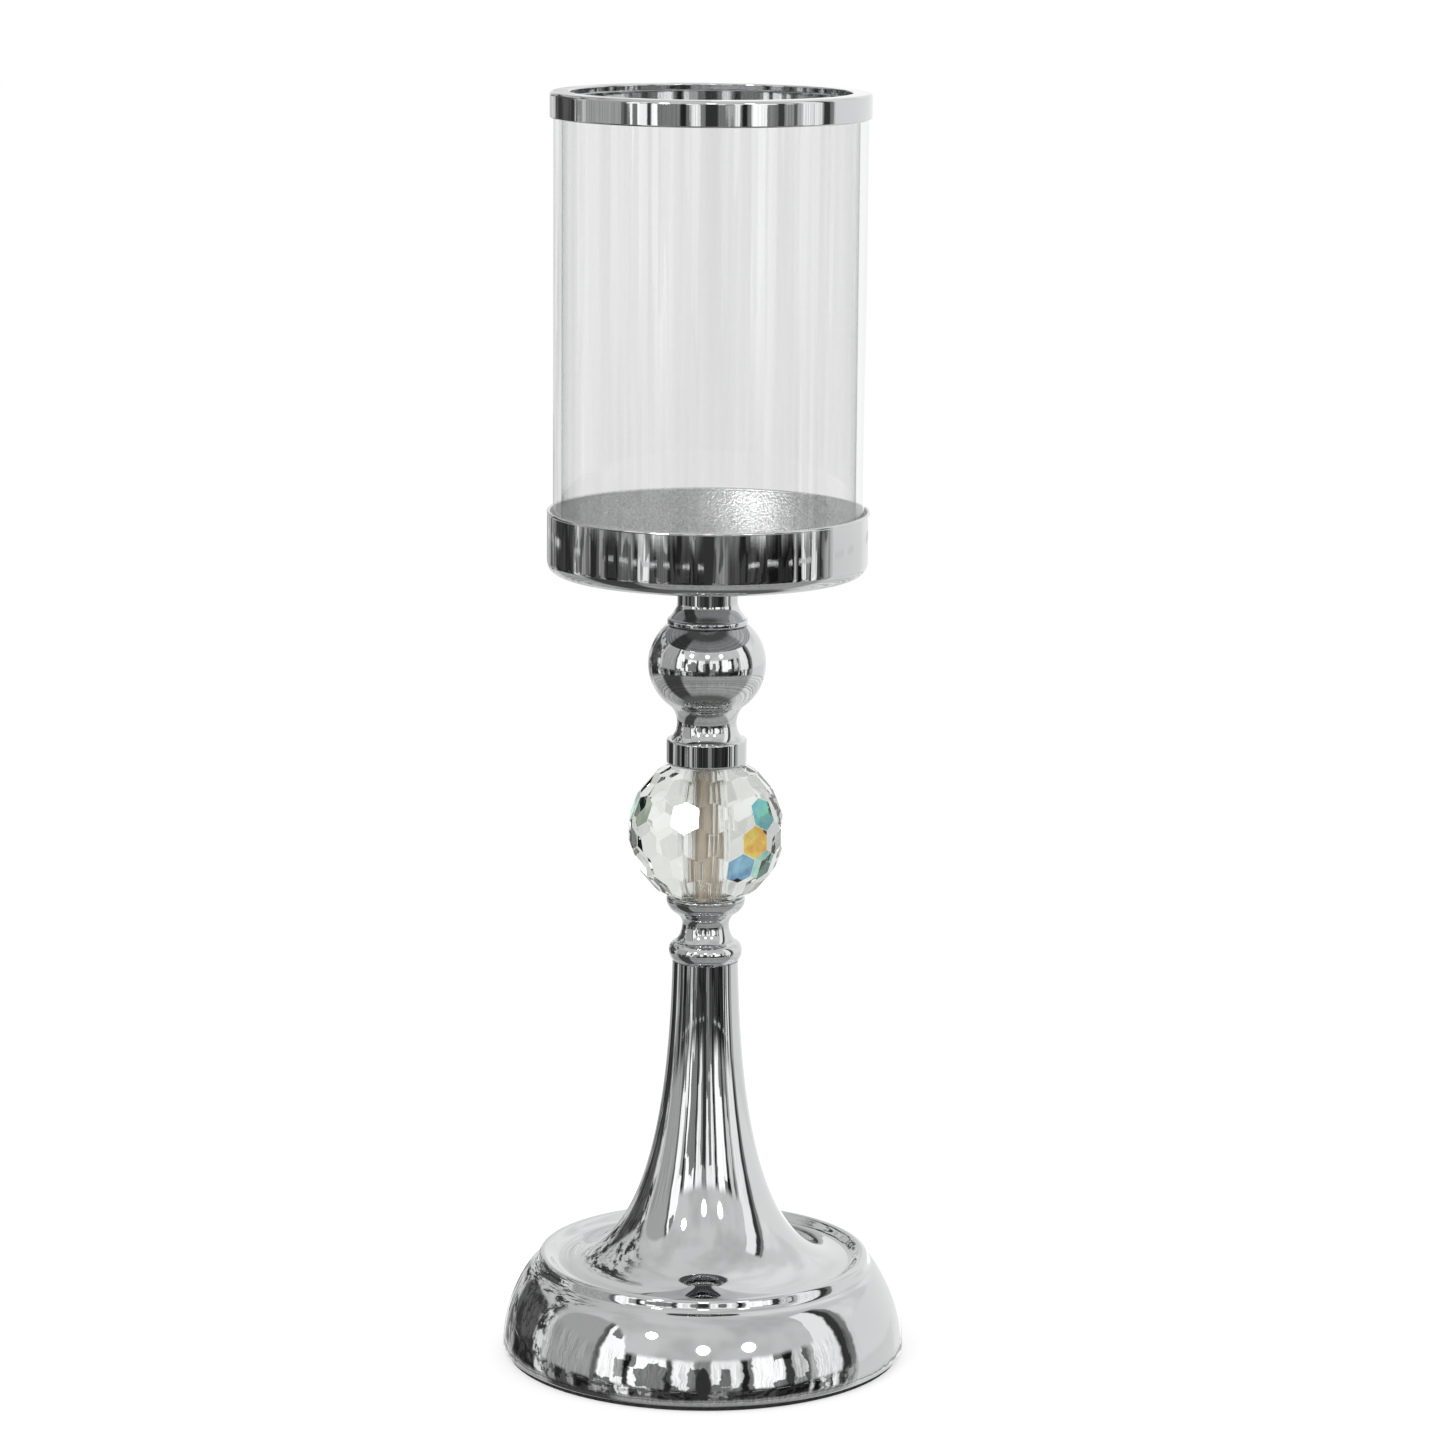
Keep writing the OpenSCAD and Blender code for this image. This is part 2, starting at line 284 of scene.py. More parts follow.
def principled(name, colour_a, colour_b, *, metallic, rough, tint_scale, rough_scale,
               stretch=(1, 1, 1), bumps=(), speck=None, leaving=None, **fixed):
    """A Principled material whose colour and roughness wander between two values.

    bumps is a list of (scale, stretch, distance). speck is the scale and depth of a
    fine grain in the roughness. leaving is the colour on the way out of the piece.
    """
    m, nt, out = material(name, (*colour_a, 1))
    shader = nt.nodes.new("ShaderNodeBsdfPrincipled")
    nt.links.new(shader.outputs[0], out.inputs["Surface"])
    where = coords(nt, stretch)
    wander = span(nt, noise(nt, where, tint_scale, 4), 0.3, 0.7)
    colour = mix(nt, wander, (*colour_a, 1), (*colour_b, 1))
    if leaving:
        colour = mix(nt, from_behind(nt), colour, (*leaving, 1))
    put(nt, shader.inputs["Base Color"], colour)
    shader.inputs["Metallic"].default_value = metallic
    wear = span(nt, noise(nt, where, rough_scale, 5, 0.6), 0.35, 0.72)
    roughness = mix_value(nt, wear, *rough)
    if speck:
        grain_scale, depth = speck
        grain = span(nt, noise(nt, coords(nt), grain_scale, 2), 0.35, 0.65)
        roughness = maths(nt, "ADD", roughness, times(nt, grain, depth))
    put(nt, shader.inputs["Roughness"], roughness)
    normal = None
    for scale, pull, distance in bumps:
        normal = bump(nt, noise(nt, coords(nt, pull), scale, 3), distance, normal)
    put(nt, shader.inputs["Normal"], normal)
    for key, value in fixed.items():
        shader.inputs[key.replace("_", " ")].default_value = value
    return m


# ---------------------------------------------------------------- materials

EVEN = (1, 1, 1)
POLISH = (900, EVEN, 0.0000012)

# spun sheet is a little wavier than the turned pieces
chrome_sheet = principled(
    "polished_chrome_sheet", (0.63, 0.635, 0.64), (0.58, 0.585, 0.59),
    metallic=1.0, rough=(0.015, 0.05), tint_scale=14, rough_scale=60,
    bumps=[(26, (1, 1, 0.35), 0.00013), POLISH])
chrome_turned = principled(
    "polished_chrome_turned", (0.63, 0.635, 0.64), (0.57, 0.575, 0.58),
    metallic=1.0, rough=(0.015, 0.045), tint_scale=30, rough_scale=110,
    bumps=[(60, (1, 1, 0.6), 0.000025), POLISH])
satin_pan = principled(
    "satin_pan_lining", (0.88, 0.88, 0.88), (0.66, 0.66, 0.66),
    metallic=0.88, rough=(0.26, 0.34), tint_scale=1100, rough_scale=70,
    speck=(1500, 0.08), bumps=[(1500, EVEN, 0.0002)])
zinc = principled(
    "bright_zinc", (0.55, 0.56, 0.58), (0.42, 0.43, 0.44),
    metallic=1.0, rough=(0.22, 0.42), tint_scale=90, rough_scale=260,
    bumps=[(500, EVEN, 0.00002)])
cast_iron = principled(
    "cast_iron", (0.09, 0.09, 0.095), (0.05, 0.048, 0.046),
    metallic=0.7, rough=(0.55, 0.8), tint_scale=60, rough_scale=200,
    bumps=[(400, EVEN, 0.0004)])
warm_sleeve = principled(
    "warm_satin_sleeve", (1.0, 0.84, 0.72), (0.52, 0.39, 0.30),
    metallic=0.15, rough=(0.4, 0.6), tint_scale=420, rough_scale=300,
    stretch=(1, 1, 0.03), bumps=[(300, (1, 1, 0.05), 0.00006)])
soft_gasket = principled(
    "clear_soft_gasket", (0.78, 0.80, 0.78), (0.68, 0.70, 0.68),
    metallic=0.0, rough=(0.3, 0.5), tint_scale=150, rough_scale=300,
    bumps=[(400, EVEN, 0.00002)])
black_felt = principled(
    "black_felt", (0.012, 0.012, 0.013), (0.03, 0.03, 0.031),
    metallic=0.0, rough=(0.9, 1.0), tint_scale=500, rough_scale=900,
    bumps=[(2500, EVEN, 0.0004)])


def clear_glass_material():
    """Thin clear glass: what is behind shows straight through, with a mirror sheen."""
    rim_falloff, mirror_ior = 9.0, 1.6
    m, nt, out = material("clear_drawn_glass", (0.9, 0.93, 0.92, 0.3))
    facing = nt.nodes.new("ShaderNodeLayerWeight")
    facing.inputs["Blend"].default_value = 0.5
    rim = maths(nt, "POWER", facing.outputs["Facing"], rim_falloff)
    streak = noise(nt, coords(nt, (1, 1, 0.025)), 190, 4)
    body = mix(nt, span(nt, streak, 0.3, 0.7), (0.966, 0.966, 0.966, 1),
               (0.932, 0.933, 0.933, 1))
    clear = nt.nodes.new("ShaderNodeBsdfTransparent")
    put(nt, clear.inputs["Color"], mix(nt, rim, body, (0.64, 0.66, 0.65, 1)))
    shine = nt.nodes.new("ShaderNodeBsdfGlossy")
    shine.inputs["Color"].default_value = (0.97, 0.98, 0.98, 1)
    put(nt, shine.inputs["Roughness"],
        span(nt, noise(nt, coords(nt), 80, 4), 0.4, 0.75, 0.0, 0.04))
    put(nt, shine.inputs["Normal"],
        bump(nt, noise(nt, coords(nt, (1, 1, 0.15)), 45, 2), 0.00004))
    fresnel = nt.nodes.new("ShaderNodeFresnel")
    fresnel.inputs["IOR"].default_value = mirror_ior
    front = maths(nt, "SUBTRACT", 1.0, from_behind(nt))
    mix_shaders(nt, times(nt, fresnel.outputs[0], front), clear, shine, out)
    return m


def crystal_material(name, colour_a, colour_b, tint_scale=60, **more):
    """Clear crystal; light is tinted by the square root of the colour as it passes."""
    return principled(
        name, colour_a, colour_b, metallic=0.0, rough=(0.0, 0.012),
        tint_scale=tint_scale, rough_scale=160, Transmission_Weight=1.0, IOR=1.53,
        **more)


clear_glass = clear_glass_material()
crystal = crystal_material("cut_crystal", (0.90, 0.935, 0.885), (0.945, 0.96, 0.925))
drilled_crystal = crystal_material(
    "drilled_crystal", (0.80, 0.84, 0.80), (0.95, 0.96, 0.94),
    bumps=[(620, (1, 1, 0.03), 0.0012)])
# painted colour glints in place of dispersion flashes: single facets tint the light
# that goes in through them, not the light that comes out
PAINTED_GLINT_TINTS = {
    name: crystal_material("crystal_%s_glint" % name, first, second, tint_scale=190,
                           leaving=(0.92, 0.95, 0.91))
    for name, first, second in (
        ("amber", (0.82, 0.16, 0.0), (0.96, 0.72, 0.02)),
        ("blue", (0.01, 0.05, 0.22), (0.10, 0.34, 0.58)),
        ("teal", (0.03, 0.36, 0.34), (0.25, 0.70, 0.42)),
        ("cyan", (0.02, 0.20, 0.42), (0.06, 0.58, 0.22)),
        ("moss", (0.12, 0.18, 0.12), (0.30, 0.36, 0.26)),
    )
}


# ------------------------------------------------------------- turned pieces

def node_z(node):
    """Lowest and highest point of a CAD node, in millimetres."""
    low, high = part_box(node)
    return low.z / MM, high.z / MM


def node_r(node):
    """Largest radius of a CAD node, in millimetres."""
    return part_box(node)[1].x / MM


ROD_BORE = 4.3  # clearance round the tie rod
NUT_BORE, NUT_DEPTH = 5.7, 13  # room for the sleeve nut in the neck
SEAT_R = 11.7  # the gaskets' seats round the crystal

# foot: trumpet, valley, bead, skirt and the sheet's lower edge
FOOT_WALL, FOOT_HEM = 1.2, 0.6
foot_r = node_r("base_shell")
foot_low, foot_top = node_z("base_shell")
valley = foot_top - 102.8
bead = foot_r - 13.6
crest = valley + 2.4
under = crest - 1.3
shoulder = (bead + 3.6, valley - 2.15)
trumpet = [(11.0, foot_top), (12.4, valley + 26), (bead - 25.6, valley),
           (bead - 5.1, valley)]
rise = [(bead - 5.1, valley), (bead - 3, valley), (bead - 2, crest), (bead, crest)]
fall = [(bead, crest), (bead + 2.8, crest), (bead + 0.8, valley - 0.9), shoulder]
skirt = [shoulder, (bead + 6.6, valley - 3.5), (foot_r, valley / 2), (foot_r, 3)]
under_rise = [(bead - 5.1, valley - FOOT_WALL), (bead - 2.6, valley - FOOT_WALL),
              (bead - 2.2, under), (bead - 0.7, under)]
under_fall = [(bead - 0.7, under), (bead + 1, under), (bead, valley - 1.9),
              (bead + 3.1, valley - 3.25)]
foot_outer = (bezier(trumpet, 90) + bezier(rise, 18) + bezier(fall, 20)
              + bezier(skirt, 56))
foot_inner = (bezier(trumpet, 60, FOOT_WALL) + bezier(under_rise, 10)
              + bezier(under_fall, 12) + bezier(skirt, 36, FOOT_WALL))
lathe("base_shell", "foot_shell",
      foot_outer + [(foot_r, foot_low + FOOT_HEM)]
      + arc(foot_r - FOOT_HEM, foot_low + FOOT_HEM, FOOT_HEM, 0, -90, 6)[1:]
      + [(foot_r - FOOT_WALL, foot_low)] + foot_inner[::-1],
      FINE, "stand", [chrome_sheet])

# lower collar: spigot in the trumpet, bead, waist and the cup under the crystal
SPIGOT_R, SPIGOT = 9.6, 6
BEAD_Z = foot_top + 3.6
CUP_TOP, CUP_FLOOR = foot_top + 22.1, foot_top + 21.2
waist_low = [(9.9, foot_top + 6.8), (8.7, foot_top + 8), (7.8, foot_top + 10.2),
             (7.8, foot_top + 12.4)]
waist_high = [(7.8, foot_top + 12.4), (7.8, foot_top + 14), (8.7, foot_top + 15.5),
              (10.4, foot_top + 16.6)]
cup = [(10.4, foot_top + 16.6), (11.7, foot_top + 17.4), (13.05, foot_top + 18.8),
       (13.05, foot_top + 20.8)]
lathe("stem_collar", "lower_collar",
      lines((ROD_BORE, foot_top - SPIGOT), (SPIGOT_R, foot_top - SPIGOT),
            (SPIGOT_R, foot_top), (10.67, foot_top))
      + arc(7.2, BEAD_Z, 5, -46.05, 0, 18)
      + arc(8.7, BEAD_Z, 3.5, 0, 72, 18) + bezier(waist_low, 24)[1:]
      + bezier(waist_high, 20)[1:] + bezier(cup, 24)[1:]
      + [(12.9, foot_top + 20.8)] + arc(12.3, foot_top + 21.25, 0.75, -36.9, 0, 6)
      + arc(12.3, foot_top + 21.35, 0.75, 0, 90, 12)
      + lines((12.3, CUP_TOP), (SEAT_R, CUP_TOP), (SEAT_R, CUP_FLOOR),
              (ROD_BORE, CUP_FLOOR), (ROD_BORE, foot_top - SPIGOT)),
      COARSE, "stand", [chrome_turned])

# ring collar: plain ring over the crystal and a waist that flares to the ball
RING_R, RING_EDGE, SEAT_DEPTH = 13.3, 0.6, 0.8
collar_low, ball_low = node_z("ring_collar")
seat_z = collar_low + SEAT_DEPTH
step_z = collar_low + 8.6
lathe("ring_collar", "ring_collar_turned",
      line((SEAT_R, collar_low), (12.1, collar_low))
      + arc(12.1, collar_low + 1.2, 1.2, -90, 0, 12)
      + line((RING_R, collar_low + 1.2), (RING_R, step_z - RING_EDGE))
      + arc(RING_R - RING_EDGE, step_z - RING_EDGE, RING_EDGE, 0, 90, 10)
      + line((RING_R - RING_EDGE, step_z), (11.998, step_z))
      + arc(17.9, ball_low - 5.9, 8.0, 222.4, 132.5, 40)
      + lines((12.5, ball_low), (ROD_BORE, ball_low), (ROD_BORE, seat_z),
              (SEAT_R, seat_z), (SEAT_R, collar_low)),
      COARSE, "stand", [chrome_turned])

# stem ball, a little flatter than a sphere
ball_low, ball_top = node_z("stem_ball")
lathe("stem_ball", "stem_ball_turned",
      arc(2.5, ball_low + 13.7, 17, -53.69, 49.36, 72)
      + lines((13.57, ball_top), (ROD_BORE, ball_top), (ROD_BORE, ball_low),
              (12.56, ball_low)),
      COARSE, "stand", [chrome_turned])

# neck piece: rounded rim, flare and straight neck
NECK_R, RIM_R, RIM_ROUND = 10, 12.4, 0.9
neck_low, neck_top = node_z("neck_piece")
flare = [(12.6, neck_low + 2.4), (11.9, neck_low + 3.5), (10.3, neck_low + 4.9),
         (NECK_R, neck_low + 7.3)]
lathe("neck_piece", "neck_turned",
      line((ROD_BORE, neck_low), (RIM_R, neck_low))
      + arc(RIM_R, neck_low + RIM_ROUND, RIM_ROUND, -90, 0, 12)
      + arc(RIM_R, neck_low + 1.6, RIM_ROUND, 0, 80, 12) + bezier(flare, 24)[1:]
      + lines((NECK_R, neck_low + 7.3), (NECK_R, neck_top), (NUT_BORE, neck_top),
              (NUT_BORE, neck_top - NUT_DEPTH), (ROD_BORE, neck_top - NUT_DEPTH),
              (ROD_BORE, neck_low)),
      COARSE, "stand", [chrome_turned])

# candle pan: polished outside, satin inside
PAN_R, CORNER_OUT, CORNER_IN = 52.8, 4.5, 3.5
pan_low, pan_top = node_z("candle_pan")
pan_flat = PAN_R - CORNER_OUT
pan_wall = PAN_R - 1
floor_z = pan_low + 1.2
lip_z = pan_top - 0.6
upright = [(PAN_R, pan_low + CORNER_OUT), (PAN_R, pan_low + 9.5),
           (PAN_R - 0.02, pan_low + 14.5), (PAN_R - 0.12, lip_z - 0.33)]


def inside_pan(z, nr, nz):
    """Faces of the wall and floor that look into the pan."""
    return z > floor_z - 0.3 and (nr < -0.35 or (nz > 0.35 and z < lip_z - 1))


lathe("candle_pan", "candle_pan_spun",
      line((NUT_BORE, pan_low), (pan_flat, pan_low))
      + arc(pan_flat, pan_low + CORNER_OUT, CORNER_OUT, -90, 0, 20)
      + bezier(upright, 24)[1:]
      + arc(PAN_R - 0.5, lip_z, 0.6, -33.5, 213.5, 26)
      + line((pan_wall, lip_z - 0.33), (pan_wall, floor_z + CORNER_IN))
      + arc(pan_flat, floor_z + CORNER_IN, CORNER_IN, 0, -90, 18)
      + lines((pan_flat, floor_z), (NUT_BORE, floor_z), (NUT_BORE, pan_low)),
      FINE, "stand", [chrome_sheet, satin_pan], inside_pan)

# glass cylinder with fire-polished ends
GLASS_WALL, GLASS_EDGE, NEAR_END = 2.8, 1.2, 0.5
glass_low, glass_top = node_z("glass_cylinder")
glass_r = node_r("glass_cylinder")
outer_edge = glass_r - GLASS_EDGE
inner_edge = glass_r - GLASS_WALL + GLASS_EDGE
low_edge, top_edge = glass_low + GLASS_EDGE, glass_top - GLASS_EDGE
lathe("glass_cylinder", "glass_chimney",
      line((glass_r, low_edge), (glass_r, top_edge), NEAR_END)
      + arc(outer_edge, top_edge, GLASS_EDGE, 0, 90, 10)
      + arc(inner_edge, top_edge, GLASS_EDGE, 90, 180, 10)
      + line((glass_r - GLASS_WALL, top_edge), (glass_r - GLASS_WALL, low_edge),
             NEAR_END)
      + arc(inner_edge, low_edge, GLASS_EDGE, 180, 270, 10)
      + arc(outer_edge, low_edge, GLASS_EDGE, 270, 360, 10),
      FINE, "glass", [clear_glass])

# rim ring: flange, outer skirt and a turned-down inner lip
SHEET, RING_ROUND, MOUTH_R, LIP = 0.9, 1.2, 45.5, 2.4
HALF = SHEET / 2
ring_low, ring_top = node_z("rim_ring")
ring_r = node_r("rim_ring")
lip_end = ring_top - LIP + HALF
lathe("rim_ring", "rim_ring_spun",
      arc(ring_r - HALF, ring_low + HALF, HALF, -180, 0, 14)
      + line((ring_r, ring_low + HALF), (ring_r, ring_top - RING_ROUND))
      + arc(ring_r - RING_ROUND, ring_top - RING_ROUND, RING_ROUND, 0, 90, 14)
      + line((ring_r - RING_ROUND, ring_top), (MOUTH_R + HALF, ring_top))
      + arc(MOUTH_R + HALF, ring_top - HALF, HALF, 90, 180, 8)
      + line((MOUTH_R, ring_top - HALF), (MOUTH_R, lip_end))
      + arc(MOUTH_R + HALF, lip_end, HALF, 180, 360, 14)
      + lines((MOUTH_R + SHEET, lip_end), (MOUTH_R + SHEET, ring_top - SHEET),
              (ring_r - SHEET, ring_top - SHEET), (ring_r - SHEET, ring_low + HALF)),
      FINE, "rim", [chrome_sheet])


# ------------------------------------------------------------------- crystal

FACETS, ROWS, ROW_STEP = 16, 3, 20.0  # facets in a row, rows each side of the middle
FACET_TURN, FACET_R, BORE_R = 5.7, 25.2, 5.2
BLANK = 0.08  # side of the cube that the crystal is cut from, and the drill's length
POLISHED_EDGE = 0.00011
SAME_FACET = math.cos(math.radians(4))
# facets with a painted colour glint in place of a dispersion flash, by row and place
# round the stem, in degrees
PAINTED_GLINTS = [
    (0, 39.45, "amber"), (-20, 28.2, "blue"), (-20, 50.7, "teal"),
    (20, 50.7, "cyan"), (20, -61.8, "moss"),
    (0, 129.45, "teal"), (-20, 118.2, "amber"), (20, 118.2, "blue"),
    (-20, -129.3, "cyan"), (0, -118.05, "amber"), (20, -151.8, "moss"),
    (20, -84.3, "teal"), (-20, -84.3, "blue"),
]


def direction(height, turn):
    """Unit vector at that angle up and that angle to the right of the front."""
    a, b = math.radians(turn), math.radians(height)
    return Vector((math.sin(a) * math.cos(b), -math.cos(a) * math.cos(b), math.sin(b)))


def faceted_blank(centre, half):
    """The solid crystal, its facets with painted colour glints marked by material
    index.
    """
    bm = bmesh.new()
    bmesh.ops.create_cube(bm, size=BLANK, matrix=Matrix.Translation(centre))
    planes = [(Vector((0, 0, s)), half) for s in (-1, 1)]
    step = 360 / FACETS
    for row in range(-ROWS, ROWS + 1):
        shift = FACET_TURN + (0 if row % 2 else step / 2)
        planes += [(direction(row * ROW_STEP, shift + i * step), FACET_R * MM)
                   for i in range(FACETS)]
    for normal, distance in planes:
        cut = bmesh.ops.bisect_plane(
            bm, geom=bm.verts[:] + bm.edges[:] + bm.faces[:], dist=1e-7,
            plane_co=centre + normal * distance, plane_no=normal, clear_outer=True)
        edges = [e for e in cut["geom_cut"] if isinstance(e, bmesh.types.BMEdge)]
        if edges:
            bmesh.ops.edgeloop_fill(bm, edges=edges)
    bmesh.ops.recalc_face_normals(bm, faces=bm.faces[:])
    # facets that face a listed glint direction take its painted glint colour
    names = list(PAINTED_GLINT_TINTS)
    painted_glints = [(direction(row, turn), names.index(tint)) for row, turn, tint in PAINTED_GLINTS]
    for f in bm.faces:
        for normal, tint in painted_glints:
            if f.normal.dot(normal) > SAME_FACET:
                f.material_index = 1 + tint
    # a fine polished edge between the facets
    bmesh.ops.bevel(bm, geom=bm.edges[:], offset=POLISHED_EDGE, segments=1,
                    affect="EDGES", profile=0.5, material=0)
    return object_from("crystal_cut", bm, [crystal, *PAINTED_GLINT_TINTS.values()])


def drill_bit(centre):
    bm = bmesh.new()
    bmesh.ops.create_cone(bm, cap_ends=True, segments=96, radius1=BORE_R * MM,
                          radius2=BORE_R * MM, depth=BLANK,
                          matrix=Matrix.Translation(centre))
    return object_from("drill", bm)


def cut_crystal():
    low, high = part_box("crystal_ball")
    centre = Vector((0, 0, (low.z + high.z) / 2))
    blank = faceted_blank(centre, (high.z - low.z) / 2)
    drill = drill_bit(centre)
    cutter = blank.modifiers.new("bore", "BOOLEAN")
    cutter.operation = "DIFFERENCE"
    cutter.solver = "EXACT"
    cutter.object = drill
    bpy.context.view_layer.update()
    bored = blank.evaluated_get(bpy.context.evaluated_depsgraph_get())
    mesh = bpy.data.meshes.new_from_object(bored)
    for o in (blank, drill):
        bpy.data.objects.remove(o)
    finish_mesh("crystal_ball", "cut_crystal_ball", mesh, "stand",
                [drilled_crystal], angle=6)
    # flat facets, but a smooth drilled wall
    for f in mesh.polygons:
        at_bore = math.hypot(f.center.x, f.center.y) < (BORE_R + 0.1) * MM
        f.use_smooth = at_bore and abs(f.normal.z) < 0.5
        if f.use_smooth:
            f.material_index = len(mesh.materials) - 1


cut_crystal()


# ---------------------------------------------------------- carried-over nodes

WORN = {
    "felt_pad": black_felt, "ballast_plate": cast_iron, "base_washer": zinc,
    "base_lock_washer": zinc, "base_nut": zinc, "tie_rod": zinc,
    "lower_crystal_gasket": soft_gasket, "upper_crystal_gasket": soft_gasket,
    "crystal_sleeve": warm_sleeve, "pan_washer": zinc, "pan_nut": zinc,
}
for node, worn in WORN.items():
    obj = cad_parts[node]
    obj.data.materials.clear()
    obj.data.materials.append(worn)


# ------------------------------------------------------------------ the room
# Directions are in degrees: az grows to the right from straight behind the camera,
# el is the height above the horizon. Brightness 1 is the white behind the object.

def bands(nt, side, stops):
    """Brightness against angle from 0 to 180, from (start, end, brightness) bands."""
    n = nt.nodes.new("ShaderNodeValToRGB")
    put(nt, n.inputs[0], maths(nt, "DIVIDE", side, 180.0))
    ramp = n.color_ramp
    places = []
    for start, end, value in stops:
        places += [(start / 180, value / 2), (end / 180, value / 2)]
    while len(ramp.elements) < len(places):
        ramp.elements.new(0.5)
    for element, (place, value) in zip(ramp.elements, places):
        element.position = place
        element.color = (value, value, value, 1)
    return times(nt, channel(nt, n.outputs[0]), 2.0)


def cells(nt, az, el, scale, stretch, jitter):
    """A random number in each of many irregular boxes."""
    panes = nt.nodes.new("ShaderNodeTexVoronoi")
    panes.distance = "CHEBYCHEV"
    put(nt, panes.inputs["Vector"], flat_vector(nt, az, times(nt, el, stretch)))
    panes.inputs["Scale"].default_value = scale
    panes.inputs["Randomness"].default_value = jitter
    return channel(nt, panes.outputs["Color"])


def ellipse(nt, value, centre, half):
    """One term of an ellipse's equation."""
    scaled = maths(nt, "DIVIDE", maths(nt, "ADD", value, -centre), half)
    return maths(nt, "POWER", scaled, 2.0)


def window_light(nt, az, el, side, right):
    """Windows and dark openings at and above eye level, in tall irregular panes."""
    window = mix_value(
        nt, right,
        bands(nt, side, [(0, 4, .3), (5, 17, 1.1), (18, 21, .1), (22, 42, 1.3),
                         (43, 46, .05), (47, 62, 1.2), (63, 66, .2), (67, 100, .55),
                         (102, 112, 1.1), (116, 145, .15), (150, 180, .9)]),
        bands(nt, side, [(0, 4, .3), (5, 22, 1.1), (23, 26, .1), (27, 47, 1.3),
                         (48, 53, .06), (54, 67, .7), (68, 85, 1.3), (87, 92, .06),
                         (94, 97, .3), (99, 180, 1.05)]))
    pane = span(nt, cells(nt, az, el, 0.16, 0.42, 0.55), 0.26, 0.38, 0.25, 1.3)
    return mix_value(nt, span(nt, side, 62, 66), times(nt, window, pane), window)


def wall_light(nt, az, el, level, side, right):
    """Walls and furniture just below eye level, with a lit shelf seen as dashes."""
    wall = mix_value(
        nt, right,
        bands(nt, side, [(0, 5, .04), (12, 28, .07), (30, 36, .6), (37, 42, .08),
                         (43.5, 50, 1.1), (51, 54, .1), (56, 66, .45), (68, 77, .05),
                         (79, 83, .4), (84, 92, .1), (94, 104, .4), (105, 111, .9),
                         (113, 119, .08), (130, 138, .06), (142, 160, .5),
                         (166, 180, .97)]),
        bands(nt, side, [(0, 2, .05), (4, 14, .34), (15, 41, .08), (43, 62, .035),
                         (64, 65.5, .8), (66.5, 69, .03), (70, 76, 1.1),
                         (77, 78, .1), (79, 83, 1.2), (84, 88, .09), (90, 96, .5),
                         (99, 140, .95), (145, 160, 1.05), (165, 180, 1.35)]))
    clutter = span(nt, cells(nt, az, el, 0.34, 1.1, 0.9), 0.3, 0.6, 0.45, 1.5)
    clutter = mix_value(nt, span(nt, az, 92, 98), clutter, 1.25)
    wall = times(nt, wall, times(nt, clutter, 0.8))
    dashes = span(nt, cells(nt, az, el, 0.17, 0.02, 0.9), 0.52, 0.56)
    shelf = times(nt, between(nt, level, -8.5, -8.42, -8.28, -8.2), dashes)
    return mix_value(nt, shelf, wall, 0.85)


def ground_light(nt, el, side, right):
    """The floor beyond the table, in lines that run round the object."""
    ground = mix_value(
        nt, right,
        bands(nt, side, [(0, 50, .42), (56, 96, .08), (104, 140, .5), (150, 180, .8)]),
        bands(nt, side, [(0, 88, .45), (98, 180, .85)]))
    rings = span(nt, noise(nt, el, 0.3, 4, 0.75), 0.35, 0.65, 0.6, 1.5)
    return times(nt, ground, rings)


def ceiling_light(nt, ray, az):
    clouds = span(nt, noise(nt, ray, 2.2, 2), 0.35, 0.65, 0.86, 1.08)
    return times(nt, mix_value(nt, span(nt, az, 60, 120), 0.79, 1.08), clouds)


def leaf_mask(nt, ray, az, el):
    """Dark leaves outside, on the left."""
    leaves = span(nt, noise(nt, ray, 7, 6, 0.75), 0.47, 0.56)
    place = times(nt, between(nt, az, -168, -158, -108, -100),
                  between(nt, el, -14, -6, 40, 58))
    return times(nt, place, leaves)


def window_lift(nt, az):
    """How far a tall curtain on the right and an arch on the left reach higher."""
    curtain = between(nt, az, 70, 72, 98, 100)
    inside = maths(nt, "SUBTRACT", 1.0, ellipse(nt, az, -73.0, 26.0))
    arch = maths(nt, "SQRT", maths(nt, "MAXIMUM", inside, 0.0))
    return maths(nt, "MULTIPLY_ADD", curtain, 30.0, times(nt, arch, 20.0))


def streak_light(nt, az, el):
    """Fine upright streaks, as spun metal draws them, below the ceiling."""
    grain = noise(nt, flat_vector(nt, az, times(nt, el, 0.04)), 1.0, 3, 0.6)
    smooth = maths(nt, "MAXIMUM", span(nt, el, 12, 20), span(nt, az, 95, 105))
    return mix_value(nt, smooth, span(nt, grain, 0.32, 0.68, 0.7, 1.2), 1.0)


def figure_mask(nt, az, el):
    """Somebody standing behind the camera, as a plain dark shape."""
    shape = maths(nt, "ADD", ellipse(nt, az, 0.0, 4.2), ellipse(nt, el, -1.0, 14.0))
    return span(nt, shape, 1.1, 0.9)


def lamp_glow(nt, ray, az):
    """A small lamp under the ceiling; a third one, on the left, is a real light."""
    el, radius, brightness = 27.0, 3.4, 9.0
    dot = nt.nodes.new("ShaderNodeVectorMath")
    dot.operation = "DOT_PRODUCT"
    put(nt, dot.inputs[0], ray)
    dot.inputs[1].default_value = direction(el, az)
    return span(nt, dot.outputs["Value"], math.cos(math.radians(radius * 1.25)),
                math.cos(math.radians(radius * 0.8)), 0.0, brightness)


